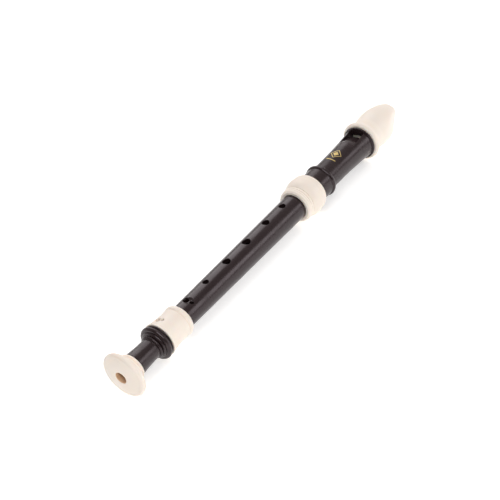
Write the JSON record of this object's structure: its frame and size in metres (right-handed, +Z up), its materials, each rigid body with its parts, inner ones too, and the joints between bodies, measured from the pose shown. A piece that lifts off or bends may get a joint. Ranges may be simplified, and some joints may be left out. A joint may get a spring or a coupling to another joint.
{
  "type": "soprano recorder",
  "caption": "Soprano recorder with an ivory beak, bulb, foot sleeve and bell on a dark tube; the head pulls off and the foot turns.",
  "frame": {"origin": "under the middle of the instrument, on the surface that it lies on", "axes": "+Y along the bore from the bell to the beak, +Z up through the finger holes, +X to the right seen from the bell end"},
  "size_m": [0.0326, 0.33, 0.0326],
  "materials": {
    "ivory_abs": "satin moulded ABS, ivory",
    "dark_abs": "satin moulded ABS, brown-black"
  },
  "bodies": {
    "middle": {"middle_joint": "dark_abs"},
    "foot": {"bell": "ivory_abs", "foot_body": "dark_abs", "foot_sleeve": "ivory_abs"},
    "head": {"bulb_ferrule": "ivory_abs", "head_tube": "dark_abs", "windway_block": "ivory_abs", "beak_cap": "ivory_abs"}
  },
  "joints": [
    {"name": "head_pull", "type": "slide", "parent": "middle", "child": "head", "axis": [0, 1, 0], "range_m": [0, 0.03]},
    {"name": "foot_turn", "type": "hinge", "parent": "middle", "child": "foot", "pos_m": [0, -0.11, 0.01632], "axis": [0, 1, 0], "continuous": true}
  ]
}
